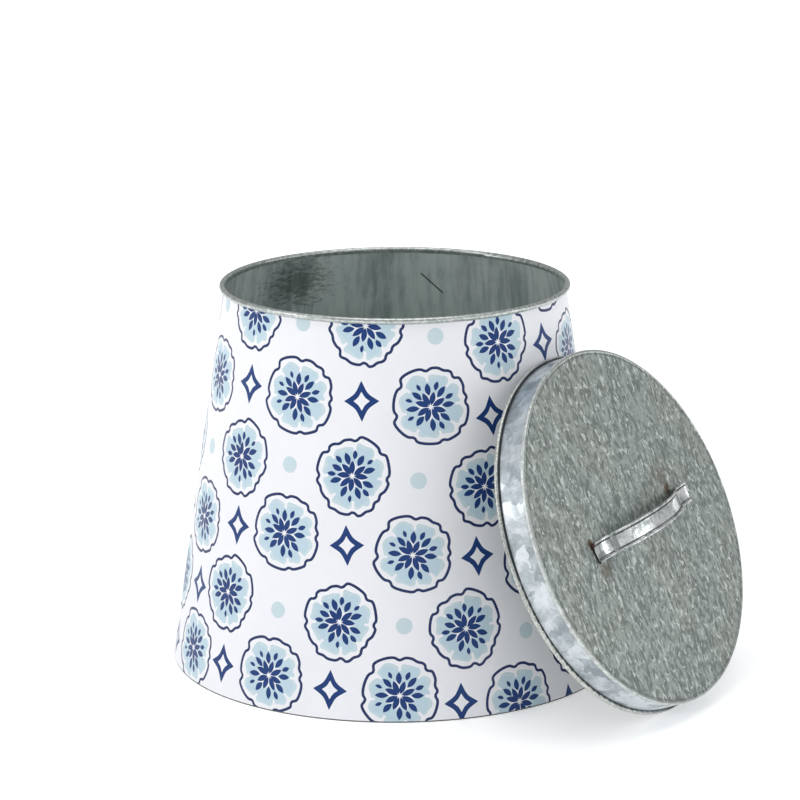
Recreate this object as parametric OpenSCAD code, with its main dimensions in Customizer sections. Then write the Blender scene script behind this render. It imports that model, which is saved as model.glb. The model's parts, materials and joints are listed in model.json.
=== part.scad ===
// Decorated tapered canister of galvanised sheet, open, with its lid leaning against its side.
// Millimetres, +Z up. The origin is the centre of the canister's foot, on the floor.
// The lid leans towards +X and rests on the floor and against the printed wrap.

/* [Canister] */
// Height from the floor to the top of the rim
canister_h = 222.3; // [180:0.1:260]
// Outer radius of the side, carried down to the floor
foot_r = 131.75; // [122:0.05:140]
// Outer radius of the side, carried up to the top of the rim
mouth_r = 98.55; // [94:0.05:101]
// Thickness of the galvanised sheet of the side and the base
sheet_t = 0.5; // [0.4:0.05:0.8]
// Radius of the wire that the rim is rolled around
rim_wire_r = 1.1; // [0.9:0.05:1.4]
// Height of the sheet folded back up inside the foot
foot_fold_h = 5; // [4:0.5:8]
// Width of the folded side seam on the inside
side_seam_w = 7; // [5:0.5:10]
// Depth of the folded side seam
side_seam_t = 1; // [0.8:0.1:1.5]
// Direction of the side seam around the canister, in degrees from +X
side_seam_at = -60; // [-180:5:180]

/* [Printed wrap] */
// Thickness of the printed sheet around the side
wrap_t = 0.25; // [0.2:0.05:0.4]
// Height of the wrap's lower edge above the floor
wrap_foot_gap = 0.8; // [0.5:0.1:2]
// Distance from the top of the rim to the wrap's upper edge
wrap_top_drop = 3.6; // [3.4:0.1:5]
// Width of the strip where the wrap's two ends overlap
wrap_lap_w = 9; // [6:0.5:15]
// Direction of the overlap around the canister, in degrees from +X
wrap_lap_at = 125; // [-180:5:180]

/* [Lid] */
// Clearance between the canister's rim and the inside of the lid's band
lid_fit = 0.15; // [0.1:0.05:0.6]
// Thickness of the lid's sheet
lid_t = 0.4; // [0.35:0.05:0.6]
// Distance from the lid's flat face down to the centre of its rolled edge
lid_depth = 18.15; // [14:0.05:24]
// Radius of the wire in the lid's rolled edge
lid_wire_r = 0.8; // [0.6:0.05:1]
// Depth of the panel's lip that is crimped over the band
lip_h = 1.8; // [1.5:0.1:3]
// Height of the raised ring along the panel's edge
ring_rise = 0.3; // [0.2:0.05:0.5]

/* [Handle] */
// Width of the strap over its hems
strap_w = 12; // [10:0.5:18]
// Thickness of the strap between its hems
strap_t = 0.6; // [0.5:0.1:1]
// Radius of the round hem along each long edge
hem_r = 0.75; // [0.6:0.05:1]
// Length of the strap from tip to tip
strap_len = 112; // [105:1:130]
// Distance between the ends of the bow, where the feet begin
bow_len = 78; // [70:1:84]
// Height of the underside of the bow's crown above the panel
bow_rise = 13.6; // [12.5:0.1:20]
// Height of the underside of the strap above the panel where the bow meets a foot
foot_rise = 3; // [2.5:0.1:4]
// Length of the pinched crease between the bow and each foot
crease_len = 2; // [1.5:0.1:3]
// Thickness of the strap over its pinched hems at the crease
crease_t = 1; // [0.8:0.1:1.2]
// Depth that each spot weld sinks into the panel
weld_sink = 0.1; // [0.05:0.01:0.15]
// Turn of the strap away from level, in degrees
strap_turn = 4.7; // [-8:0.1:8]
// Place of the strap's middle on the panel: downhill, sideways and up from the panel's centre
strap_at = [-0.3, 4.9, 0]; // [-5:0.1:5]

/* [Leaning lid] */
// Angle between the lid's axis and the vertical
lean = 65.7; // [62:0.1:70]
// Sideways distance of the lid's centre from the plane of the canister's axis
lean_side = -3.8; // [-8:0.1:8]
// Clearance between the lid's rolled edge and the wrap
lean_gap = 0.2; // [0.15:0.05:0.5]

/* [Hidden] */
$fn = 96;

// Working gap between sheets that lie against each other, and around a wire in its roll
ply_gap = 0.05;
// Overlap that makes two shapes of one piece meet as one solid
bite = 0.1;

// Canister: radii at a height z
taper = (foot_r - mouth_r) / canister_h;
function wrap_out(z) = foot_r - taper * z;
function wall_out(z) = wrap_out(z) - wrap_t - ply_gap;

// Canister's rolled rim
rim_hole_r = rim_wire_r + ply_gap;
rim_bead_r = rim_hole_r + sheet_t;
rim_z = canister_h - rim_bead_r;
rim_r = wall_out(rim_z) + rim_hole_r;
// Directions between which the rolled rim stays open, on its lower inner side
rim_open = [200, 236];

// Layers of the folded foot, as distances in from the outside of the side
flange_in = sheet_t + ply_gap;
fold_in = flange_in + sheet_t + ply_gap;
fold_end = fold_in + sheet_t;
pan_z = foot_fold_h + ply_gap;
side_seam_margin = 2;

// Lid, about its own axis, with the panel's flat face at z = 0
band_in_r = rim_r + rim_bead_r + lid_fit;
band_out_r = band_in_r + lid_t;
panel_r = band_out_r + ply_gap + lid_t;
panel_corner_r = 0.6;
band_top_z = -panel_corner_r;
lid_hole_r = lid_wire_r + ply_gap;
lid_bead_r = lid_hole_r + lid_t;
lid_roll_in = 0.02;
lid_roll_r = band_in_r + lid_bead_r - lid_roll_in;
ring_section_r = 1.1;
// Directions between which the lid's rolled edge stays open, on the side of the band
lid_open = [118, 158];

// Handle: the bow is one arc and each foot is the opposite arc, tangent where they meet
bow_half = bow_len / 2;
bow_angle = 2 * atan((bow_rise - foot_rise) / bow_half);
bow_r = bow_half / sin(bow_angle);
foot_arc_r = (foot_rise + weld_sink) / (1 - cos(bow_angle));
weld_x = bow_half + foot_arc_r * sin(bow_angle);
tip_angle = asin((strap_len / 2 - weld_x) / foot_arc_r);
crease_reach = crease_len / 2 - bite;
bow_sweep = bow_angle - crease_reach / bow_r * 180 / PI;
foot_sweep = bow_angle - crease_reach / foot_arc_r * 180 / PI;

// Leaning lid: its rolled edge touches the floor below and the wrap above
roll_z = lid_roll_r * sin(lean) + lid_bead_r;
roll_top_z = roll_z + lid_roll_r * sin(lean);
roll_top_x = wrap_out(roll_top_z) + (lid_bead_r + lean_gap) * sqrt(1 + taper * taper);
lid_x = roll_top_x + lid_roll_r * cos(lean) + lid_depth * sin(lean);
lid_z = roll_z + lid_depth * cos(lean);

GALVANISED = [0.60, 0.64, 0.63];
DARK_ZINC = [0.45, 0.49, 0.48];
BRIGHT_ZINC = [0.78, 0.81, 0.82];
WIRE_STEEL = [0.50, 0.50, 0.52];
PRINT_WHITE = [0.95, 0.95, 0.97];

// A band of even thickness that follows the tapered side, from z_low to z_high
module side_layer(inset, thickness, z_low, z_high) {
    polygon([
        [wall_out(z_low) - inset - thickness, z_low],
        [wall_out(z_low) - inset, z_low],
        [wall_out(z_high) - inset, z_high],
        [wall_out(z_high) - inset - thickness, z_high]
    ]);
}

// Section of a rolled edge around a wire, left open between two directions
module rolled_edge(outer_r, hole_r, open) {
    reach = 2 * outer_r;
    difference() {
        circle(r = outer_r);
        circle(r = hole_r);
        polygon([[0, 0], for (angle = open) reach * [cos(angle), sin(angle)]]);
    }
}

// Places a piece of the lid where the leaning lid is
module leaning() {
    translate([lid_x, lean_side, lid_z]) rotate([0, lean, 0]) children();
}

// Tapered side with its rolled rim, folded foot and inside seam
module tin_wall() {
    color(DARK_ZINC) {
        rotate_extrude() {
            side_layer(0, sheet_t, 0, rim_z - bite);
            translate([rim_r, rim_z]) rolled_edge(rim_bead_r, rim_hole_r, rim_open);
            side_layer(fold_in, sheet_t, 0, foot_fold_h);
            side_layer(0, fold_end, 0, sheet_t);
        }
        side_seam();
    }
}

// Flat folded seam where the two ends of the side's sheet are locked together
module side_seam() {
    seam_low_z = pan_z + sheet_t + side_seam_margin;
    seam_high_z = rim_z - side_seam_margin;
    rotate([0, 0, side_seam_at])
        translate([0, side_seam_w / 2, 0])
            rotate([90, 0, 0])
                linear_extrude(side_seam_w)
                    side_layer(sheet_t - 2 * bite, side_seam_t + bite, seam_low_z, seam_high_z);
}

// Wire inside the rolled rim
module rim_wire() {
    color(WIRE_STEEL)
        rotate_extrude() translate([rim_r, rim_z]) circle(r = rim_wire_r);
}

// Recessed bottom with the flange that the folded foot clamps
module base_pan() {
    flange_foot_z = sheet_t + ply_gap;
    disc_r = wall_out(pan_z) - flange_in - sheet_t / 2;
    color(GALVANISED)
        rotate_extrude() {
            side_layer(flange_in, sheet_t, flange_foot_z, pan_z + sheet_t);
            translate([0, pan_z]) square([disc_r, sheet_t]);
        }
}

// Printed sheet around the side, doubled along a narrow strip at the back
module printed_wrap() {
    wrap_high_z = canister_h - wrap_top_drop;
    wrap_inset = -wrap_t - ply_gap;
    lap_angle = wrap_lap_w / foot_r * 180 / PI;
    color(PRINT_WHITE) {
        rotate_extrude() side_layer(wrap_inset, wrap_t, wrap_foot_gap, wrap_high_z);
        rotate([0, 0, wrap_lap_at])
            rotate_extrude(angle = lap_angle)
                side_layer(wrap_inset - wrap_t, wrap_t + bite, wrap_foot_gap, wrap_high_z);
    }
}

// Flat disc with a raised ring and a lip crimped down over the band
module lid_panel() {
    corner_in = panel_r - panel_corner_r;
    color(GALVANISED)
        leaning() rotate_extrude() {
            translate([0, -lid_t]) square([corner_in + ply_gap, lid_t]);
            translate([corner_in, -panel_corner_r])
                intersection() {
                    difference() {
                        circle(r = panel_corner_r);
                        circle(r = panel_corner_r - lid_t);
                    }
                    square(panel_corner_r);
                }
            translate([panel_r - lid_t, -lip_h]) square([lid_t, lip_h - panel_corner_r + ply_gap]);
            intersection() {
                translate([corner_in - ring_section_r / 2, ring_rise - ring_section_r])
                    circle(r = ring_section_r);
                translate([0, -lid_t]) square([panel_r, lid_t + ring_rise + bite]);
            }
        }
}

// Upright skirt with a rolled bead at its open edge
module lid_band() {
    color(BRIGHT_ZINC)
        leaning() rotate_extrude() {
            translate([band_in_r, -lid_depth]) square([lid_t, lid_depth + band_top_z]);
            translate([lid_roll_r, -lid_depth]) rolled_edge(lid_bead_r, lid_hole_r, lid_open);
        }
}

// Wire inside the lid's rolled edge
module lid_wire() {
    color(WIRE_STEEL)
        leaning() rotate_extrude() translate([lid_roll_r, -lid_depth]) circle(r = lid_wire_r);
}

// Section of the strap: x is the height above its underside, y is across its width
module strap_section() {
    hem_y = strap_w / 2 - hem_r;
    translate([0, -hem_y]) square([strap_t, 2 * hem_y]);
    for (side = [-1, 1])
        translate([hem_r + ply_gap / 5, side * hem_y]) circle(r = hem_r);
}

// An arc of the strap in the upright plane along its length, from one angle to another.
// The hems lie on the arc's outer side, or on its inner side where hems_inside is set.
module strap_arc(arc_r, from_angle, to_angle, hems_inside) {
    rotate([90, 0, 0])
        rotate([0, 0, from_angle])
            rotate_extrude(angle = to_angle - from_angle)
                translate([arc_r, 0]) mirror([hems_inside ? 1 : 0, 0]) strap_section();
}

// Short straight stretch with pinched hems, where the bow meets a foot
module crease() {
    translate([bow_half, 0, foot_rise]) rotate([0, bow_angle, 0])
        translate([0, 0, crease_t / 2 - ply_gap])
            cube([crease_len, strap_w - bite, crease_t], center = true);
}

// Bowed strap in one piece with the two feet that are welded to the panel
module handle_strap() {
    color(BRIGHT_ZINC)
        leaning() translate(strap_at) rotate([0, 0, 90 + strap_turn]) {
            translate([0, 0, bow_rise - bow_r])
                strap_arc(bow_r, 90 - bow_sweep, 90 + bow_sweep, false);
            for (end = [0, 1]) mirror([end, 0, 0]) {
                crease();
                translate([weld_x, 0, foot_arc_r - weld_sink])
                    strap_arc(foot_arc_r, 270 - foot_sweep, 270 + tip_angle, true);
            }
        }
}

tin_wall();
rim_wire();
base_pan();
printed_wrap();
lid_panel();
lid_band();
lid_wire();
handle_strap();
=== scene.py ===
"""Looks of the decorated tapered canister and its leaning lid."""
import json
import math
import random

import bpy
from mathutils import Matrix, Vector, noise
from mathutils.geometry import delaunay_2d_cdt


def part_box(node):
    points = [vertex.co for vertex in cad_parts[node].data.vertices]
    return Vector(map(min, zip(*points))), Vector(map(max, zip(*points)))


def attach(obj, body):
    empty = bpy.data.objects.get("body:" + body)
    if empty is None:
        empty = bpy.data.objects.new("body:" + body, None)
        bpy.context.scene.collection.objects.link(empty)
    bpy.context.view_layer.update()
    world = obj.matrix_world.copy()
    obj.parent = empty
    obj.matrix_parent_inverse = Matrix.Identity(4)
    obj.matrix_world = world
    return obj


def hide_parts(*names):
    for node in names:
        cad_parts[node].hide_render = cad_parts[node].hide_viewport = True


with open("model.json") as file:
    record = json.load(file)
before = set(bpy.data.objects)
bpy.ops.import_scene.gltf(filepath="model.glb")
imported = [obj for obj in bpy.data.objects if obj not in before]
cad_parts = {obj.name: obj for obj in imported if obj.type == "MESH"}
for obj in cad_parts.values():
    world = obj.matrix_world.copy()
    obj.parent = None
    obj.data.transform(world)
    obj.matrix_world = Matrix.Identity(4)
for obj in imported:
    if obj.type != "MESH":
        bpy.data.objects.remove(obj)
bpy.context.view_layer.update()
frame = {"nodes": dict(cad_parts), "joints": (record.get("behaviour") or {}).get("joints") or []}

MM = 0.001
nodes = frame["nodes"]


def placed(name, data):
    """A new object in the scene."""
    made = bpy.data.objects.new(name, data)
    bpy.context.scene.collection.objects.link(made)
    return made


# Camera -----------------------------------------------------------------------------------------

HEADING, PITCH, ROLL = (math.radians(angle) for angle in (33.354, -14.085, -0.25))
CAMERA_AT = (0.9741, -1.4750, 0.5948)
camera_data = bpy.data.cameras.new("camera")
camera_data.lens = 140.75
camera_data.sensor_width = 36
camera = placed("camera", camera_data)
camera.matrix_world = (
    Matrix.Translation(CAMERA_AT)
    @ Matrix.Rotation(HEADING, 4, "Z")
    @ Matrix.Rotation(math.pi / 2 + PITCH, 4, "X")
    @ Matrix.Rotation(ROLL, 4, "Z")
)
bpy.context.scene.camera = camera

# Measures taken from the frame ------------------------------------------------------------------

FRONT = math.radians(-56.56)  # azimuth where the wrap's development has its middle
RIM_DEPTH = 3.3  # from the mouth down to where the rolled rim begins
LID_WIRE_R = 0.8


def outline_of(node, pick):
    """(z, radius) of the outermost of the node's vertices that pick() accepts."""
    return max(
        ((v.co.z, math.hypot(v.co.x, v.co.y)) for v in nodes[node].data.vertices if pick(v.co)),
        key=lambda found: found[1],
    )


wrap_low, wrap_high = (corner.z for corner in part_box("printed_wrap"))
SLICE = 0.01 * MM
foot_z, foot_r = outline_of("printed_wrap", lambda p: p.x > 0 and p.z < wrap_low + SLICE)
head_z, head_r = outline_of("printed_wrap", lambda p: p.x > 0 and p.z > wrap_high - SLICE)
RIM_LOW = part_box("tin_wall")[1].z / MM - RIM_DEPTH
CONE = math.atan2(foot_r - head_r, head_z - foot_z)
APEX_Z = foot_z + foot_r / math.tan(CONE)

LID_AXIS = Vector(frame["joints"][0]["axis"]).normalized()
LEAN = math.atan2(LID_AXIS.x, LID_AXIS.z)
lid_turn = Matrix.Rotation(LEAN, 4, "Y")
low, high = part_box("lid_panel")
RING_RISE = 0.3 * MM
panel_top = max(v.co.dot(LID_AXIS) for v in nodes["lid_panel"].data.vertices) - RING_RISE
middle = (low + high) / 2
lid_centre = middle + LID_AXIS * (panel_top - middle.dot(LID_AXIS))
LID = Matrix.Translation(lid_centre) @ lid_turn
PANEL_R = (high.y - low.y) / 2 / MM
wire_low = min(v.co.dot(LID_AXIS) for v in nodes["lid_wire"].data.vertices)
LID_DEPTH = (panel_top - wire_low) / MM - LID_WIRE_R


# Shader building --------------------------------------------------------------------------------


class Shader:
    """One material, built node by node. Vectors inside are in millimetres."""

    def __init__(self, name):
        self.material = bpy.data.materials.new(name)
        self.material.use_nodes = True
        self.tree = self.material.node_tree
        self.bsdf = self.tree.nodes["Principled BSDF"]
        self.place = self.put("TexCoord").outputs["Object"]

    def put(self, kind, links=None, **settings):
        made = self.tree.nodes.new("ShaderNode" + kind)
        for key, value in settings.items():
            setattr(made, key, value)
        self.feed(made, links or {})
        return made

    def feed(self, made, links):
        for key, value in links.items():
            if isinstance(value, bpy.types.NodeSocket):
                self.tree.links.new(value, made.inputs[key])
            else:
                made.inputs[key].default_value = value

    def mapped(self, scale=(1, 1, 1), vector=None, frame_of=None):
        """Coordinates in millimetres, in the row frame or in another frame's own, times scale."""
        if vector is None:
            vector = self.place
            turn = frame_of.to_3x3().inverted() if frame_of else Matrix.Identity(3)
            origin = frame_of.translation if frame_of else Vector()
            vector = self.put(
                "Mapping",
                {
                    "Vector": vector,
                    "Location": (turn @ -origin) / MM,
                    "Rotation": turn.to_euler(),
                    "Scale": (1 / MM,) * 3,
                },
            ).outputs[0]
        return self.put("Mapping", {"Vector": vector, "Scale": scale}).outputs[0]

    def noise(self, vector, scale=1.0, detail=2.0, roughness=0.5, distortion=0.0):
        made = self.put(
            "TexNoise",
            {
                "Vector": vector,
                "Scale": scale,
                "Detail": detail,
                "Roughness": roughness,
                "Distortion": distortion,
            },
        )
        return made.outputs[0]

    def cells(self, vector, scale=1.0):
        """A random grey for each Voronoi cell."""
        made = self.put("TexVoronoi", {"Vector": vector, "Scale": scale})
        return self.put("SeparateColor", {0: made.outputs["Color"]}).outputs[0]

    def math(self, operation, a, b=0.0, clamp=False):
        return self.put("Math", {0: a, 1: b}, operation=operation, use_clamp=clamp).outputs[0]

    def span(self, value, low, high, to_low=0.0, to_high=1.0, smooth=True):
        made = self.put(
            "MapRange",
            {"Value": value, 1: low, 2: high, 3: to_low, 4: to_high},
            interpolation_type="SMOOTHSTEP" if smooth else "LINEAR",
        )
        return made.outputs[0]

    def between(self, value, start, full, last_full, end):
        """0 outside start and end, 1 from full to last_full."""
        rise = self.span(value, start, full)
        return self.math("MULTIPLY", rise, self.span(value, end, last_full))

    def weighted(self, *terms):
        """Sum of (value, weight) pairs."""
        total = None
        for value, weight in terms:
            part = self.math("MULTIPLY", value, weight)
            total = part if total is None else self.math("ADD", total, part)
        return total

    def length(self, vector):
        return self.put("VectorMath", {0: vector}, operation="LENGTH").outputs["Value"]

    def mix(self, amount, a, b):
        return self.put("Mix", {0: amount, 6: a, 7: b}, data_type="RGBA").outputs[2]

    def parts(self, vector):
        return self.put("SeparateXYZ", {0: vector}).outputs

    def near(self, vector, point, reach, rough=0.6):
        """1 at a point, falling to 0 at reach, with an uneven edge. All in millimetres."""
        gap = self.put("VectorMath", {0: vector, 1: point}, operation="DISTANCE").outputs["Value"]
        wobble = self.noise(vector, 0.35, 3, 0.6)
        swing = rough * reach
        gap = self.math("ADD", gap, self.span(wobble, 0.3, 0.7, -swing, swing, False))
        return self.span(gap, reach, 0.2 * reach)

    def bumps(self, height, strength, distance):
        return self.put(
            "Bump", {"Height": height, "Strength": strength, "Distance": distance * MM}
        ).outputs[0]

    def finish(self, **values):
        self.feed(self.bsdf, {key.replace("_", " "): value for key, value in values.items()})
        return self.material


def rgb(*levels):
    """Linear colour from 0-255 display levels."""
    return tuple(
        level / 255 / 12.92 if level <= 10 else ((level / 255 + 0.055) / 1.055) ** 2.4
        for level in levels
    ) + (1.0,)


# Printed inks -----------------------------------------------------------------------------------


def ink(name, colour, mottled, roughness):
    """A print colour on smooth film, with faint density changes and a very fine grain."""
    s = Shader(name)
    place = s.mapped()
    cloud = s.noise(place, 0.03, 3, 0.55)
    grain = s.noise(place, 1.6, 2, 0.6)
    tone = s.weighted((cloud, 0.7), (grain, 0.3))
    return s.finish(
        Base_Color=s.mix(s.span(tone, 0.3, 0.7), colour, mottled),
        Roughness=s.span(tone, 0.3, 0.7, roughness - 0.04, roughness + 0.05),
        Specular_IOR_Level=0.25,
        Normal=s.bumps(s.math("ADD", grain, s.math("MULTIPLY", cloud, 2.0)), 0.35, 0.03),
    )


INKS = [
    ink("print_white", rgb(248, 248, 252), rgb(243, 244, 248), 0.36),
    ink("print_navy", rgb(36, 50, 96), rgb(42, 56, 102), 0.34),
    ink("print_royal_blue", rgb(24, 58, 118), rgb(30, 64, 124), 0.34),
    ink("print_grey_blue", rgb(203, 221, 227), rgb(208, 225, 231), 0.36),
    ink("print_pale_blue", rgb(193, 216, 228), rgb(198, 220, 231), 0.36),
]
WHITE, NAVY, ROYAL, SHADE, PALE = range(5)


# Printed wrap: motifs drawn on the side's flat development, in millimetres ----------------------

FLOWER_R = 22.8
OUTLINE_W = 1.6
WHITE_BAND = 2.4
CORE_R = 14.0
LOBES = 8
CUSP = 0.86
RISE = 0.075
NOTCH_W = 0.11
OUTLINE_POINTS, CORE_POINTS, PETAL_STEPS, DOT_POINTS, SIDE_STEPS = 168, 24, 16, 32, 8


def turned(points, angle, middle):
    c, s = math.cos(angle), math.sin(angle)
    return [(middle[0] + c * x - s * y, middle[1] + s * x + c * y) for x, y in points]


def circle(radius, count):
    turns = (2 * math.pi * k / count for k in range(count))
    return [(radius * math.cos(turn), radius * math.sin(turn)) for turn in turns]


class Rosette:
    """Outline of a flower, as a radius per angle: unequal lobes, each with a small notch."""

    def __init__(self, draw):
        count = LOBES
        weights = [draw.uniform(0.8, 1.2) for _ in range(count)]
        total = sum(weights)
        self.edges = [0.0]
        for weight in weights:
            self.edges.append(self.edges[-1] + 2 * math.pi * weight / total)
        self.size = [draw.uniform(0.95, 1.04) for _ in range(count)]
        self.notch_at = [draw.uniform(0.35, 0.65) for _ in range(count)]
        self.notch = [draw.choice((0.0, 0.04, 0.055)) for _ in range(count)]
        self.flat = [draw.uniform(0.0, 0.05) for _ in range(count)]
        self.lean = [draw.uniform(-0.05, 0.05) for _ in range(count)]

    def lobe(self, angle):
        angle %= 2 * math.pi
        for k, end in enumerate(self.edges[1:]):
            if angle < end or k == len(self.edges) - 2:
                start = self.edges[k]
                return k, min(max((angle - start) / (end - start), 0.0), 1.0)

    def radius(self, angle):
        k, u = self.lobe(angle)
        before, after = self.size[k - 1], self.size[(k + 1) % len(self.size)]
        cusp = CUSP * ((before + self.size[k]) / 2 * (1 - u) + (after + self.size[k]) / 2 * u)
        rise = (1 - math.exp(-u / RISE)) * (1 - math.exp((u - 1) / RISE))
        top = self.size[k] + self.lean[k] * (2 * u - 1) - self.flat[k] * (1 - (2 * u - 1) ** 2)
        top -= self.notch[k] * math.exp(-(((u - self.notch_at[k]) / NOTCH_W) ** 2))
        return FLOWER_R * (cusp + (top - cusp) * rise)


def smoothed_ring(radius, count, reach):
    """Points of a closed outline given by radius(angle), averaged over a short reach."""
    step = 2 * math.pi / count
    found = []
    for k in range(count):
        angles = [(k + offset) * step for offset in range(-reach, reach + 1)]
        xs = [radius(a) * math.cos(a) for a in angles]
        ys = [radius(a) * math.sin(a) for a in angles]
        found.append((sum(xs) / len(xs), sum(ys) / len(ys)))
    return found


def inset(points, distance):
    """A closed outline moved inwards, by the average of its two neighbouring edges' normals."""
    found = []
    count = len(points)
    for k, (x, y) in enumerate(points):
        (ax, ay), (bx, by) = points[k - 2], points[(k + 2) % count]
        length = math.hypot(bx - ax, by - ay)
        found.append((x - distance * (by - ay) / length, y + distance * (bx - ax) / length))
    return found


def leaf(at, angle, length, width, draw):
    """A pointed almond from radius at outwards."""
    side = [(u / 6, math.sin(math.pi * u / 6) ** 0.8 * width / 2) for u in range(1, 6)]
    bend = draw.uniform(-0.25, 0.25)
    points = [(at, 0.0)]
    points += [(at + length * u, w + bend * math.sin(math.pi * u)) for u, w in side]
    points += [(at + length, 0.0)]
    points += [(at + length * u, -w + bend * math.sin(math.pi * u)) for u, w in reversed(side)]
    return turned(list(reversed(points)), angle, (0, 0))


def flower(draw):
    """Closed shapes of one flower about its own middle, each with its ink, in painting order."""
    rose = Rosette(draw)
    outline = smoothed_ring(rose.radius, OUTLINE_POINTS, 1)
    shapes = [(NAVY, outline), (WHITE, inset(outline, OUTLINE_W))]
    core = circle(CORE_R, CORE_POINTS)
    for k in range(len(rose.size)):
        start, end = rose.edges[k], rose.edges[k + 1]
        rim, body = [], []
        wave = draw.uniform(0, 2 * math.pi)
        for step in range(PETAL_STEPS):
            u = step / (PETAL_STEPS - 1)
            full = min(math.sin(math.pi * (0.02 + 0.96 * u)) ** 0.35, 1.0)
            reach = rose.radius(start + (end - start) * (0.12 + 0.76 * u)) - OUTLINE_W - WHITE_BAND
            reach = reach * (0.84 + 0.16 * full) + 0.55 * math.sin(wave + 9 * u)
            narrow = 0.012 + 0.05 * (1 - full)
            angle = start + narrow + (end - start - 2 * narrow) * u
            rim.append((reach * math.cos(angle), reach * math.sin(angle)))
            inner = reach - 1.6 - 0.7 * math.sin(wave * 1.7 + 7 * u) - 0.4 * (1 - full)
            narrow += 0.035
            angle = start + narrow + (end - start - 2 * narrow) * u
            body.append((inner * math.cos(angle), inner * math.sin(angle)))
        root = (start + end) / 2
        for colour, edge, base in ((SHADE, rim, 1.0), (PALE, body, 1.6)):
            shapes.append((colour, [(base * math.cos(root), base * math.sin(root))] + edge))
    shapes.append((PALE, core))
    shapes.append((WHITE, [(1.6 * x / CORE_R, 1.6 * y / CORE_R) for x, y in core]))
    inner_count = draw.choice((7, 8, 8))
    spin = draw.uniform(0, 2 * math.pi)
    inner_leaves = []
    for k in range(inner_count):
        angle = spin + 2 * math.pi * (k + draw.uniform(-0.07, 0.07)) / inner_count
        length = draw.uniform(7.6, 8.4)
        shapes.append((WHITE, leaf(0.3, angle, length + 0.8, 4.5, draw)))
        inner_leaves.append((ROYAL, leaf(1.0, angle, length, 3.3, draw)))
    shapes += inner_leaves
    for k in range(2 * inner_count):
        angle = spin + 2 * math.pi * (k + draw.uniform(-0.1, 0.1)) / (2 * inner_count)
        if k % 2:
            length, width = draw.uniform(6.8, 7.6), draw.uniform(3.0, 3.4)
            shapes.append((ROYAL, leaf(6.3, angle, length, width, draw)))
        elif draw.random() < 0.7:
            medium = draw.random() < 0.5
            length, width = (5.2, 2.7) if medium else (4.2, 2.1)
            shapes.append((ROYAL, leaf(9.3 if medium else 10.6, angle, length, width, draw)))
    return shapes


def diamond(half_w, half_h):
    """A hollow four-pointed figure with hollow sides."""

    def ring(scale, hollow):
        wide, tall = half_w * scale, half_h * scale
        tips = [(wide, 0), (0, tall), (-wide, 0), (0, -tall)]
        points = []
        for k, (ax, ay) in enumerate(tips):
            bx, by = tips[(k + 1) % 4]
            for step in range(SIDE_STEPS):
                u = step / SIDE_STEPS
                pull = 1 - hollow * math.sin(math.pi * u)
                points.append(((ax + (bx - ax) * u) * pull, (ay + (by - ay) * u) * pull))
        return points

    return [(ROYAL, ring(1.0, 0.24)), (WHITE, ring(0.46, 0.17))]


def dot(radius):
    return [(SHADE, circle(radius, DOT_POINTS))]


# The sheet on its flat development: x along the foot from the front, y up the slope
SLOPE_LOW = (APEX_Z - wrap_low) / math.cos(CONE) / MM
SLOPE_HIGH = (APEX_Z - wrap_high) / math.cos(CONE) / MM
APEX_Y = APEX_Z / math.cos(CONE) / MM
SEAM_AT, LAP_W = math.radians(125), 9.0
LIFT, LIFT_FROM, LIFT_OVER = 0.26, 16, 5  # the lap's rise, where it starts and how long it takes
SHEET_T = 0.25
FROM = (SEAM_AT - 2 * math.pi - FRONT) * math.sin(CONE)
TO = (SEAM_AT - FRONT) * math.sin(CONE) + LAP_W / foot_r * MM * math.sin(CONE)
ALONG, UP, ORIGIN = Vector((74, -7.5)), Vector((-32.6, 43.9)), Vector((0, 14))
DESIGN_SEEDS = (5, 11)
FLOWER_JITTER, SMALL_JITTER = 2.4, 1.4
MARGIN = 26
COLUMNS, ROWS = 168, 12
HAIR, EDGE_NEAR = 1e-6, 0.05


def flat(slope, turn):
    return slope * math.sin(turn), APEX_Y - slope * math.cos(turn)


def polar(x, y):
    """(slope, turn) of a point of the flat sheet: the inverse of flat()."""
    return math.hypot(x, APEX_Y - y), math.atan2(x, APEX_Y - y)


def on_side(x, y, deep=0.0):
    """(point, normal) on the canister's side for a point of the flat sheet, deep mm inside it."""
    slope, turn = polar(x, y)
    around = turn / math.sin(CONE) + FRONT
    start = TO - LIFT_FROM / SLOPE_LOW
    lift = min(max((turn - start) / (LIFT_OVER / SLOPE_LOW), 0.0), 1.0)
    lift = LIFT * lift * lift * (3 - 2 * lift) - deep
    cosine, sine = math.cos(around), math.sin(around)
    normal = Vector((math.cos(CONE) * cosine, math.cos(CONE) * sine, math.sin(CONE)))
    radius = slope * math.sin(CONE)
    point = Vector((radius * cosine, radius * sine, APEX_Z / MM - slope * math.cos(CONE)))
    return (point + normal * lift) * MM, normal


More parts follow.
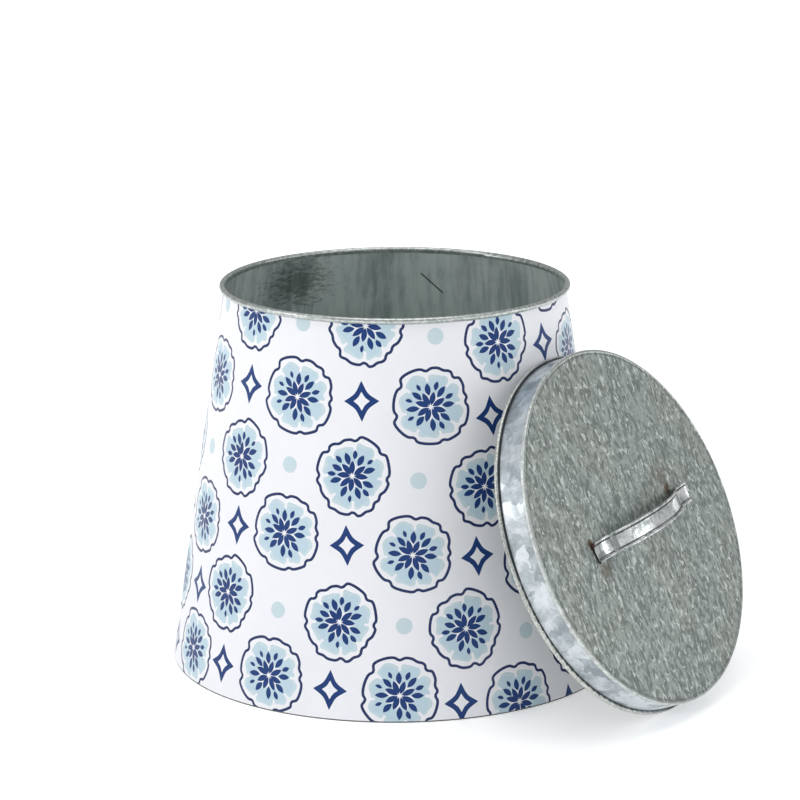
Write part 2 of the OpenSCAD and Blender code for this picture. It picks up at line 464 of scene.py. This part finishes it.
def layout():
    """Every motif of the wrap as (ink, closed outline), in painting order."""
    shapes = []
    designs = [flower(random.Random(seed)) for seed in DESIGN_SEEDS]
    for row in range(-3, 9):
        for column in range(-10, 11):
            draw = random.Random(1000 * row + column)
            node_at = ORIGIN + ALONG * column + UP * row
            between = "diamond" if row % 2 == 0 or draw.random() < 0.2 else "dot"
            kinds = (
                ("flower", node_at, FLOWER_JITTER),
                (between, node_at + ALONG * 0.5, SMALL_JITTER),
            )
            for kind, middle, jitter in kinds:
                shift = Vector((draw.uniform(-jitter, jitter), draw.uniform(-jitter, jitter)))
                middle = middle + shift
                slope, turn = polar(middle.x, middle.y)
                if not SLOPE_HIGH - MARGIN < slope < SLOPE_LOW + MARGIN:
                    continue
                if not FROM - MARGIN / slope < turn < TO + MARGIN / slope:
                    continue
                if kind == "flower":
                    tilt, motif = turn + draw.uniform(-0.12, 0.12), designs[row % 2]
                elif kind == "diamond":
                    tilt, motif = turn + draw.uniform(-0.08, 0.08), diamond(9.9, 11.4)
                else:
                    tilt, motif = 0, dot(4.6)
                shapes += [(colour, turned(shape, tilt, middle)) for colour, shape in motif]
    return shapes


def sheet_triangles(turns):
    """The flat sheet cut along its motifs: its points, and (triangle, ink) for each piece."""
    slopes = [SLOPE_LOW + (SLOPE_HIGH - SLOPE_LOW) * k / ROWS for k in range(ROWS + 1)]
    points, edges, faces, colours = [], [], [], []

    def add(found):
        start = len(points)
        points.extend(Vector(p) for p in found)
        return list(range(start, len(points)))

    border = [flat(SLOPE_LOW, t) for t in turns] + [flat(s, TO) for s in slopes[1:-1]]
    border += [flat(SLOPE_HIGH, t) for t in reversed(turns)]
    border += [flat(s, FROM) for s in slopes[-2:0:-1]]
    faces.append(add(border))
    colours.append(WHITE)
    for turn in turns[1:-1]:
        edges.append(add([flat(SLOPE_LOW, turn), flat(SLOPE_HIGH, turn)]))
    for slope in slopes[1:-1]:
        row = add([flat(slope, t) for t in turns])
        edges += [list(pair) for pair in zip(row, row[1:])]
    for colour, shape in layout():
        faces.append(add(shape))
        colours.append(colour)
    verts, _, tris, _, _, sources = delaunay_2d_cdt(points, edges, faces, 1, 1e-3)
    kept = [(tri, colours[max(source)]) for tri, source in zip(tris, sources) if 0 in source]
    used = sorted({v for tri, _ in kept for v in tri})
    renumbered = {v: k for k, v in enumerate(used)}
    return [tuple(verts[v]) for v in used], [
        ([renumbered[v] for v in tri], colour) for tri, colour in kept
    ]


def edge_points(where, left, right, slope):
    """Border vertices of one column on the foot or the top edge, from left to right."""
    found = [
        v
        for v, (s, t) in where.items()
        if left - HAIR < t < right + HAIR and abs(s - slope) < EDGE_NEAR
    ]
    return sorted(found, key=lambda v: where[v][1])


def end_points(where, turn, taken):
    """Border vertices on one end of the sheet, from the top down."""
    found = [v for v, (_, t) in where.items() if abs(t - turn) < HAIR and v not in taken]
    return sorted(found, key=lambda v: where[v][0])


def printed_sheet():
    turns = [FROM + (TO - FROM) * k / COLUMNS for k in range(COLUMNS + 1)]
    sheet, kept = sheet_triangles(turns)
    polygons, inks = [tri for tri, _ in kept], [colour for _, colour in kept]

    # Edges of the sheet, walked in order, and a second set of their points on its inner face
    seen = dict.fromkeys(pair for tri in polygons for pair in zip(tri, tri[1:] + tri[:1]))
    rim = {a: b for a, b in seen if (b, a) not in seen}
    inner = {v: len(sheet) + k for k, v in enumerate(rim)}
    coords, normals = [], []
    for x, y in sheet:
        point, normal = on_side(x, y)
        coords.append(point)
        normals.append(normal)
    for v in rim:
        point, normal = on_side(*sheet[v], deep=SHEET_T)
        coords.append(point)
        normals.append(-normal)
    for a, b in rim.items():
        polygons.append([b, a, inner[a], inner[b]])
        inks.append(WHITE)
    bars = len(polygons)

    # The back of the sheet: one strip for each column
    where = {v: polar(*sheet[v]) for v in rim}
    for left, right in zip(turns, turns[1:]):
        foot = edge_points(where, left, right, SLOPE_LOW)
        head = edge_points(where, left, right, SLOPE_HIGH)
        first = end_points(where, left, foot + head)[::-1] if left == turns[0] else []
        last = end_points(where, right, foot + head) if right == turns[-1] else []
        ring = foot[:1] + first + head + last + foot[:0:-1]
        polygons.append([inner[v] for v in ring])
        inks.append(WHITE)

    mesh = bpy.data.meshes.new("wrap_print")
    mesh.from_pydata(coords, [], polygons)
    for material in INKS:
        mesh.materials.append(material)
    mesh.polygons.foreach_set("material_index", inks)
    mesh.polygons.foreach_set("use_smooth", [True] * len(polygons))
    mesh.update()
    loop_normals = []
    for k, polygon in enumerate(mesh.polygons):
        edge = len(kept) <= k < bars
        for v in polygon.vertices:
            loop_normals.append(tuple(polygon.normal) if edge else tuple(normals[v]))
    mesh.normals_split_custom_set(loop_normals)
    return placed("wrap_print", mesh)


wrap = printed_sheet()
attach(wrap, "tin")
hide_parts("printed_wrap")

# Handle -----------------------------------------------------------------------------------------

STRAP_W, STRAP_T, HEM_R = 12.0, 0.6, 0.75
STRAP_LEN, BOW_LEN, BOW_RISE, FOOT_RISE = 112.0, 78.0, 13.6, 3.0
WELD_SINK = 0.1
SLOT_DEPTH, FOOT_SLOT = 0.42, 0.1
BOW_DISH, FOOT_DISH = 0.05, 0.22
BOW_STEPS, FOOT_STEPS, HEM_STEPS = 40, 32, 14
BOW_HALF = BOW_LEN / 2
BOW_ANGLE = 2 * math.atan((BOW_RISE - FOOT_RISE) / BOW_HALF)
BOW_R = BOW_HALF / math.sin(BOW_ANGLE)
FOOT_R = (FOOT_RISE + WELD_SINK) / (1 - math.cos(BOW_ANGLE))
WELD_X = BOW_HALF + FOOT_R * math.sin(BOW_ANGLE)
TIP_ANGLE = math.asin((STRAP_LEN / 2 - WELD_X) / FOOT_R)
STRAP = (
    LID
    @ Matrix.Translation(Vector((-0.3, 4.9, 0)) * MM)
    @ Matrix.Rotation(math.radians(94.7), 4, "Z")
)


def strap_line():
    """Stations from tip to tip: (along, height of the underside, slope, distance past the bend)."""
    half = []
    for k in range(BOW_STEPS + 1):
        turn = BOW_ANGLE * k / BOW_STEPS
        height = BOW_RISE - BOW_R + BOW_R * math.cos(turn)
        half.append((BOW_R * math.sin(turn), height, -turn, BOW_R * (turn - BOW_ANGLE)))
    for k in range(1, FOOT_STEPS + 1):
        turn = -BOW_ANGLE + (TIP_ANGLE + BOW_ANGLE) * k / FOOT_STEPS
        along = WELD_X + FOOT_R * math.sin(turn)
        height = FOOT_R * (1 - math.cos(turn)) - WELD_SINK
        half.append((along, height, turn, FOOT_R * (turn + BOW_ANGLE)))
    return [(-u, w, -slope, past) for u, w, slope, past in reversed(half[1:])] + half


def strap_section(pinch, dish, groove):
    """Half of the strap's section, from the middle of its underside round the hem to its top.

    Each point is (across, height). pinch flattens the hem; groove is the slot's depth inside it."""
    hem_y = STRAP_W / 2 - HEM_R
    tall = 1 - 0.42 * pinch
    points = [(0, 0), (1.8, 0), (3.6, 0), (hem_y, 0)]
    for k in range(1, HEM_STEPS + 1):
        turn = math.radians(-90 + 270 * k / HEM_STEPS + 15 * k / HEM_STEPS)
        points.append((hem_y + HEM_R * math.cos(turn), (HEM_R + HEM_R * math.sin(turn)) * tall))
    inner = hem_y - HEM_R
    top = STRAP_T * (1 - 0.1 * pinch) + 0.35 * pinch
    points += [
        (inner + 0.08, top - groove),
        (inner - 0.22, top - groove),
        (inner - 0.42, top - 0.06),
        (inner - 0.75, top),
        (2.6, top - 0.4 * dish),
        (1.3, top - 0.8 * dish),
        (0, top - dish),
    ]
    return points


def strap_mesh():
    coords, rings = [], []
    for along, height, slope, past in strap_line():
        pinch = math.exp(-((past / 1.3) ** 2))
        foot = 1 / (1 + math.exp(-(past - 1.5) * 2))
        groove = (SLOT_DEPTH + FOOT_SLOT * foot) * (1 - pinch)
        dish = BOW_DISH * (1 - pinch) + FOOT_DISH * foot
        lift = Vector((-math.sin(slope), 0, math.cos(slope)))
        ring = []
        half = strap_section(pinch, dish, groove)
        for v, h in half + [(-v, h) for v, h in reversed(half[1:-1])]:
            side = 1 if v > 0 else -1
            dent = noise.noise(Vector((along * 0.12, side * 3.0, 0.0))) * 0.14
            h += dent * min(abs(v) / 5, 1) * max(h - STRAP_T, 0) / STRAP_T
            uneven = 0.012 * noise.noise(Vector((along * 0.05, 7.0, side)))
            point = Vector((along, v * (1 + uneven - 0.035 * pinch), height)) + lift * h
            ring.append(len(coords))
            coords.append(STRAP @ (point * MM))
        rings.append(ring)
    count = len(rings[0])
    faces = []
    for near, far in zip(rings, rings[1:]):
        for k in range(count):
            after = (k + 1) % count
            faces.append([near[k], far[k], far[after], near[after]])
    faces.append(rings[0])
    faces.append(rings[-1][::-1])
    mesh = bpy.data.meshes.new("strap_handle")
    mesh.from_pydata(coords, [], faces)
    mesh.polygons.foreach_set("use_smooth", [True] * (len(faces) - 2) + [False] * 2)
    mesh.update()
    mesh.set_sharp_from_angle(angle=math.radians(50))
    return placed("strap_handle", mesh)


strap = strap_mesh()
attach(strap, "lid")
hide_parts("handle_strap")

# Metals -----------------------------------------------------------------------------------------

# (place in the strap's frame, reach, strength)
RUST_SPOTS = (
    ((-55.5, 5.5, 0), 5.0, 0.9),
    ((-51.0, -10.5, 0), 7.5, 0.6),
    ((38.5, 8.0, 0), 5.0, 0.95),
    ((37.0, 15.0, 0), 9.0, 0.4),
)
STAIN_AT = (-94.3, 33.4, 306)  # on the inner wall, with its height times 1.5
SCRATCH = (
    Matrix.Rotation(math.radians(110.5), 4, "Z")
    @ Matrix.Translation((0.1, 0, 200 * MM))
    @ Matrix.Rotation(math.radians(42), 4, "X")
)


def lid_sheet():
    """Aged galvanised sheet: short pale flecks that run down the lean, on a green-grey ground."""
    s = Shader("galvanised_lid")
    place = s.mapped(frame_of=LID)
    strap_place = s.mapped(frame_of=STRAP)
    wander = s.noise(place, 0.1, 2, 0.5)
    flecks = s.noise(s.mapped((0.25, 0.48, 0.48), place), 1.0, 3, 0.6, 0.9)
    cell = s.cells(s.mapped((0.2, 0.46, 0.46), place))
    bright = s.noise(s.mapped((0.21, 0.42, 0.42), place), 1.0, 1, 0.5, 1.0)
    cloud = s.noise(place, 0.018, 3, 0.55)
    tone = s.weighted((flecks, 0.62), (cell, 0.2), (wander, 0.18))
    level = s.span(tone, 0.38, 0.62)
    cool = s.mix(level, rgb(124, 134, 131), rgb(175, 185, 182))
    warm = s.mix(level, rgb(128, 131, 123), rgb(177, 181, 172))
    colour = s.mix(s.span(cloud, 0.62, 0.38, 0.1, 0.65), cool, warm)
    colour = s.mix(s.span(bright, 0.56, 0.70, 0.0, 0.85), colour, rgb(226, 232, 228))

    # The crimped edge: its crown lighter, partly rubbed wear and partly a painted highlight;
    # painted shade in the hollow beside the crown and in a dark line on the flat just inside the
    # ring
    radius = s.length(s.mapped((1, 1, 0), place))
    crown = s.span(radius, PANEL_R - 1.7, PANEL_R - 1.2)
    # painted highlight and rubbed wear: the crown of the ring made lighter all round
    wear_and_highlight = s.math("MULTIPLY", crown, s.noise(place, 0.3, 3, 0.6))
    colour = s.mix(s.math("MULTIPLY", wear_and_highlight, 1.1, True), colour, rgb(222, 226, 224))
    # painted shade: the hollow beside the crown darkened
    valley_shade = s.between(radius, PANEL_R - 1.3, PANEL_R - 1.1, PANEL_R - 0.8, PANEL_R - 0.6)
    colour = s.mix(s.math("MULTIPLY", valley_shade, 0.6), colour, rgb(120, 126, 124))
    # painted shade: a dark line on the flat just inside the ring
    crease_shade = s.between(radius, PANEL_R - 3.4, PANEL_R - 2.7, PANEL_R - 2.3, PANEL_R - 1.9)
    colour = s.mix(s.math("MULTIPLY", crease_shade, 0.4), colour, rgb(84, 90, 88))

    rust = None
    for spot, reach, strength in RUST_SPOTS:
        stain = s.math("MULTIPLY", s.near(strap_place, spot, reach), strength)
        rust = stain if rust is None else s.math("MAXIMUM", rust, stain)
    return s.finish(
        Base_Color=s.mix(rust, colour, rgb(92, 68, 52)),
        Metallic=0.75,
        Roughness=s.span(tone, 0.36, 0.66, 0.52, 0.38),
        Normal=s.bumps(s.math("ADD", tone, s.math("MULTIPLY", bright, 0.4)), 0.3, 0.12),
    )


def band_sheet():
    """Smooth zinc with crisp cloudy crystals, and painted shade in the grooves beside its lip and
    its bead.
    """
    s = Shader("galvanised_band")
    place = s.mapped(frame_of=LID)
    drift = s.put("TexNoise", {"Vector": place, "Scale": 0.08}).outputs[1]
    drift = s.put("VectorMath", {0: drift, "Scale": 14.0}, operation="SCALE").outputs[0]
    warped = s.put("VectorMath", {0: place, 1: drift}, operation="ADD").outputs[0]
    patches = s.cells(warped, 0.075)
    small = s.cells(warped, 0.2)
    fine = s.noise(place, 0.9, 3, 0.6)
    cloud = s.noise(place, 0.04, 4, 0.6)
    tone = s.weighted((patches, 0.17), (cloud, 0.6), (small, 0.08), (fine, 0.15))
    height = s.parts(place)["Z"]
    above_wire = s.math("ADD", height, LID_DEPTH)
    # painted shade: the groove just above the bead and the one just below the lip darkened
    low_groove = s.between(above_wire, 1.05, 1.25, 1.6, 1.85)
    high_groove = s.span(height, -2.6, -2.0)
    low_shade, high_shade = (
        s.math("MULTIPLY", groove, strength)
        for groove, strength in ((low_groove, 0.9), (high_groove, 0.35))
    )
    painted_shade = s.math("MAXIMUM", low_shade, high_shade)
    colour = s.mix(s.span(tone, 0.36, 0.62), rgb(146, 155, 160), rgb(214, 220, 224))
    bead_metal = s.mix(s.span(fine, 0.4, 0.6), rgb(168, 170, 164), rgb(212, 214, 208))
    colour = s.mix(s.span(above_wire, 1.2, 0.9), colour, bead_metal)
    return s.finish(
        Base_Color=s.mix(painted_shade, colour, rgb(48, 51, 50)),
        Metallic=0.8,
        Roughness=s.span(tone, 0.34, 0.66, 0.44, 0.32),
        Normal=s.bumps(tone, 0.3, 0.12),
    )


def body_sheet():
    """Brushed zinc inside the canister, with upright streaks, a stain and a scratch."""
    s = Shader("galvanised_body")
    place = s.mapped()
    height = s.parts(place)["Z"]
    columns = s.noise(s.mapped((0.03, 0.03, 0.001), place), 1.0, 2, 0.5)
    streaks = s.noise(s.mapped((0.22, 0.22, 0.006), place), 1.0, 4, 0.6)
    brush = s.noise(s.mapped((2.2, 2.2, 0.05), place), 1.0, 3, 0.6)
    cloud = s.noise(place, 0.03, 4, 0.6)
    tone = s.weighted((streaks, 0.3), (cloud, 0.25), (brush, 0.1), (columns, 0.35))
    colour = s.mix(s.span(tone, 0.40, 0.60), rgb(170, 181, 180), rgb(234, 241, 238))

    smear = s.noise(s.mapped((0.16, 0.16, 0.6), place), 1.0, 4, 0.7)
    smear = s.span(smear, 0.3, 0.7, -17, 17, False)
    gap = s.put(
        "VectorMath", {0: s.mapped((1, 1, 1.5), place), 1: STAIN_AT}, operation="DISTANCE"
    ).outputs["Value"]
    stain = s.span(s.math("ADD", gap, smear), 30, 4, 0.0, 0.62)
    colour = s.mix(stain, colour, rgb(58, 60, 52))

    scratch = s.parts(s.mapped(frame_of=SCRATCH))
    thin = s.span(s.math("ABSOLUTE", scratch["Z"]), 0.7, 0.3)
    short = s.span(s.math("ABSOLUTE", scratch["Y"]), 10, 8)
    line = s.math("MULTIPLY", thin, short)
    line = s.math("MULTIPLY", line, s.span(scratch["X"], -25, -20))
    colour = s.mix(s.math("MULTIPLY", line, 0.85), colour, rgb(48, 52, 50))

    # painted shade: the wall darkened over its lowest few millimetres, where it stands on the floor
    colour = s.mix(s.span(height, 2.6, 1.6, 0.0, 0.85), colour, rgb(60, 62, 60))
    mottle = s.noise(place, 0.45, 4, 0.65)
    rim_metal = s.mix(s.span(mottle, 0.36, 0.64), rgb(164, 170, 166), rgb(208, 213, 210))
    rim = s.span(height, RIM_LOW - 0.3, RIM_LOW)
    return s.finish(
        Base_Color=s.mix(rim, colour, rim_metal),
        Metallic=s.span(rim, 0, 1, 0.55, 0.85),
        Roughness=s.span(tone, 0.35, 0.65, 0.42, 0.28),
        Normal=s.bumps(s.math("ADD", s.math("MULTIPLY", brush, 0.3), cloud), 0.3, 0.1),
    )


def wire_steel(name, frame_of):
    s = Shader(name)
    place = s.mapped(frame_of=frame_of)
    fine = s.noise(place, 1.5, 3, 0.6)
    return s.finish(
        Base_Color=s.mix(s.span(fine, 0.3, 0.7), rgb(120, 122, 124), rgb(160, 162, 164)),
        Metallic=0.9,
        Roughness=s.span(fine, 0.3, 0.7, 0.45, 0.3),
        Normal=s.bumps(fine, 0.3, 0.05),
    )


def strap_metal():
    """Mottled zinc, with painted shade in its slots, across its bends and at one tip, and rust
    where the feet are welded.
    """
    s = Shader("bright_strap")
    place = s.mapped(frame_of=STRAP)
    blots = s.noise(place, 0.16, 4, 0.6, 0.6)
    fine = s.noise(place, 1.2, 3, 0.6)
    tone = s.weighted((blots, 0.75), (fine, 0.25))
    colour = s.mix(s.span(tone, 0.36, 0.6), rgb(142, 149, 150), rgb(238, 240, 240))

    along = s.parts(place)
    # painted shade: dark lines along the slots beside the hems
    edge = s.math("SUBTRACT", STRAP_W / 2 - 2.15, s.math("ABSOLUTE", along["Y"]))
    slot_line = s.span(s.math("ABSOLUTE", edge), 0.55, 0.2)
    from_bend = s.math("SUBTRACT", s.math("ABSOLUTE", along["X"]), BOW_HALF)
    slot_line = s.math("MULTIPLY", slot_line, s.span(s.math("ABSOLUTE", from_bend), 1.2, 2.0))
    # painted shade: a dark band across the bend at one end only
    past_crease = s.math("SUBTRACT", along["X"], BOW_HALF + 0.6)
    crease_shade = s.span(s.math("ABSOLUTE", past_crease), 2.2, 1.3)
    # painted shade: a grey band across the bend at the other end
    past_fold = s.math("ADD", along["X"], BOW_HALF)
    fold_shade = s.span(s.math("ABSOLUTE", past_fold), 2.8, 1.6, 0.0, 0.75)
    colour = s.mix(fold_shade, colour, rgb(124, 132, 130))
    # painted shade: the end of one foot darkened, where it stands off the lid
    tip = s.span(along["X"], 0.6 - STRAP_LEN / 2, 0.2 - STRAP_LEN / 2)
    painted_shade = s.math("MAXIMUM", s.math("MULTIPLY", slot_line, 0.85), s.math("MAXIMUM", crease_shade, tip))
    colour = s.mix(painted_shade, colour, rgb(50, 44, 40))
    rust = s.near(place, (-STRAP_LEN / 2, STRAP_W / 2, 1), 3.2)
    rust = s.math("MAXIMUM", rust, s.near(place, (BOW_HALF, STRAP_W / 2, 3), 2.6))
    clean = s.span(tone, 0.36, 0.6, 0.36, 0.22)
    # Where shade is painted, the metal is also made less metallic and rougher
    return s.finish(
        Base_Color=s.mix(s.math("MULTIPLY", rust, 0.85), colour, rgb(84, 50, 34)),
        Metallic=s.math("SUBTRACT", 0.8, s.math("MULTIPLY", painted_shade, 0.6), True),
        Roughness=s.math("MAXIMUM", clean, s.math("MULTIPLY", painted_shade, 0.8)),
        Normal=s.bumps(tone, 0.35, 0.15),
    )


def dress(node, material):
    for slot in nodes[node].material_slots:
        slot.material = material


body_metal = body_sheet()
dress("tin_wall", body_metal)
dress("base_pan", body_metal)
dress("lid_panel", lid_sheet())
dress("lid_band", band_sheet())
dress("rim_wire", wire_steel("rim_wire_steel", None))
dress("lid_wire", wire_steel("lid_wire_steel", LID))
strap_finish = strap_metal()
strap.data.materials.append(strap_finish)
dress("handle_strap", strap_finish)

# Floor and light --------------------------------------------------------------------------------

FLOOR_HALF = 12.0
WORLD_COLOUR, WORLD_STRENGTH = (0.95, 0.975, 1.0, 1), 0.42

scene = bpy.context.scene
scene.view_settings.view_transform = "Standard"


def floor_paint():
    """Near white, with a faint glow that keeps the ground pale far from the canister."""
    s = Shader("floor")
    place = s.mapped()
    grain = s.noise(place, 0.01, 2, 0.5)
    return s.finish(
        Base_Color=s.mix(grain, rgb(250, 250, 250), rgb(253, 253, 253)),
        Roughness=0.6,
        Emission_Color=(1, 1, 1, 1),
        Emission_Strength=s.span(s.length(place), 200, 1500, 0.36, 0.78),
    )


floor_mesh = bpy.data.meshes.new("floor")
corners = [(x * FLOOR_HALF, y * FLOOR_HALF, 0) for x, y in ((-1, -1), (1, -1), (1, 1), (-1, 1))]
floor_mesh.from_pydata(corners, [], [(0, 1, 2, 3)])
floor_mesh.materials.append(floor_paint())
floor = placed("floor", floor_mesh)

world = bpy.data.worlds.new("studio")
world.use_nodes = True
backdrop = world.node_tree.nodes["Background"].inputs
backdrop["Color"].default_value = WORLD_COLOUR
backdrop["Strength"].default_value = WORLD_STRENGTH
scene.world = world


def softbox(name, place, aim, size, power):
    """A square area light at place, turned to aim, with its side in metres and power in watts."""
    data = bpy.data.lights.new(name, "AREA")
    data.shape = "RECTANGLE"
    data.size = data.size_y = size
    data.energy = power
    made = placed(name, data)
    turn = (Vector(aim) - Vector(place)).to_track_quat("-Z", "Y").to_matrix().to_4x4()
    made.matrix_world = Matrix.Translation(place) @ turn


softbox("top_light", (0.1, -0.1, 2.6), (0, 0, 0), 2.2, 25)
softbox("left_light", (-1.8, -2.0, 1.4), (0, 0, 0.1), 1.6, 21)
softbox("right_light", (2.6, -0.6, 1.4), (0.15, 0, 0.1), 1.4, 5)
softbox("glint_light", (1.7, 0.83, 0.65), (0.18, 0, 0.12), 0.5, 2.8)
